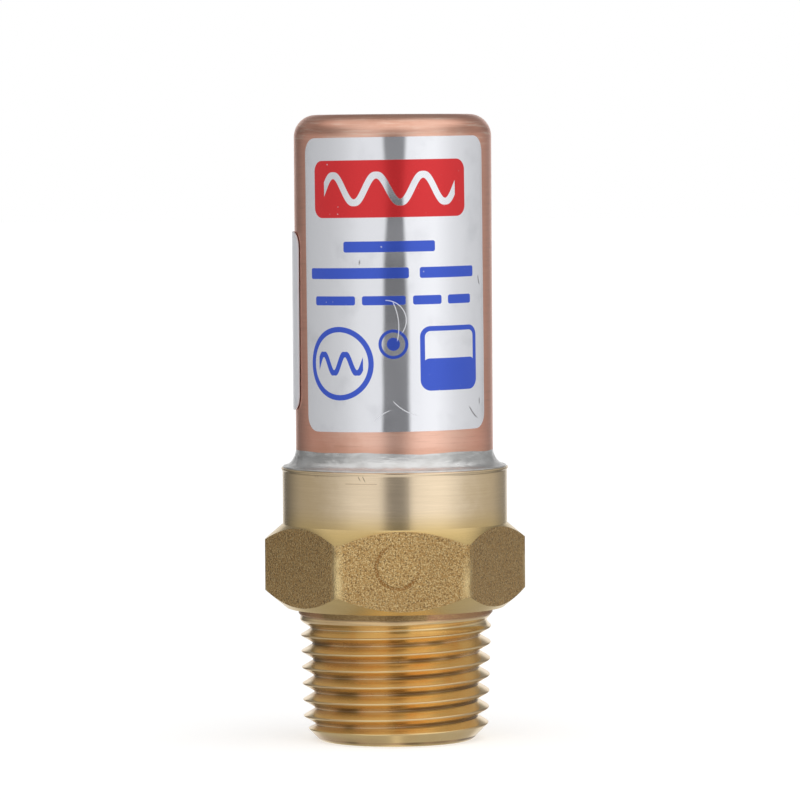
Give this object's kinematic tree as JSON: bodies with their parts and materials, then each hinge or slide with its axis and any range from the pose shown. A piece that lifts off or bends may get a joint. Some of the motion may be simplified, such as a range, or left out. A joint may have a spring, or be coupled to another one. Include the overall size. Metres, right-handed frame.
{
  "type": "water hammer arrestor",
  "caption": "Copper air chamber with a sliding piston, soldered into a brass hex adapter with a tapered male pipe thread, that cushions pressure surges in a water pipe.",
  "frame": {"origin": "centre of the flat end face of the pipe thread, where the part stands", "axes": "+Z along the chamber's axis towards its closed end; -Y is the front, where a hexagon flat and the taller label face; hexagon corners lie on +X and -X"},
  "size_m": [0.0294, 0.0254, 0.0698],
  "materials": {
    "brass": "forged flats, turned thread, chamfers and collar",
    "copper": "drawn copper with fine brush lines round the tube",
    "solder": "bright tin solder",
    "piston_plastic": "moulded",
    "seal_rubber": "greased",
    "label_foil": "satin foil with flat print"
  },
  "bodies": {
    "housing": {"brass_body": "brass", "copper_chamber": "copper", "solder_joint": "solder", "front_label": "label_foil", "rear_label": "label_foil"},
    "piston_assembly": {"piston": "piston_plastic", "upper_o_ring": "seal_rubber", "lower_o_ring": "seal_rubber"}
  },
  "joints": [
    {"name": "piston_slide", "type": "slide", "parent": "housing", "child": "piston_assembly", "axis": [0, 0, 1], "range_m": [0, 0.0255], "stiffness_N_per_m": 6700, "springref_m": -0.0188}
  ]
}
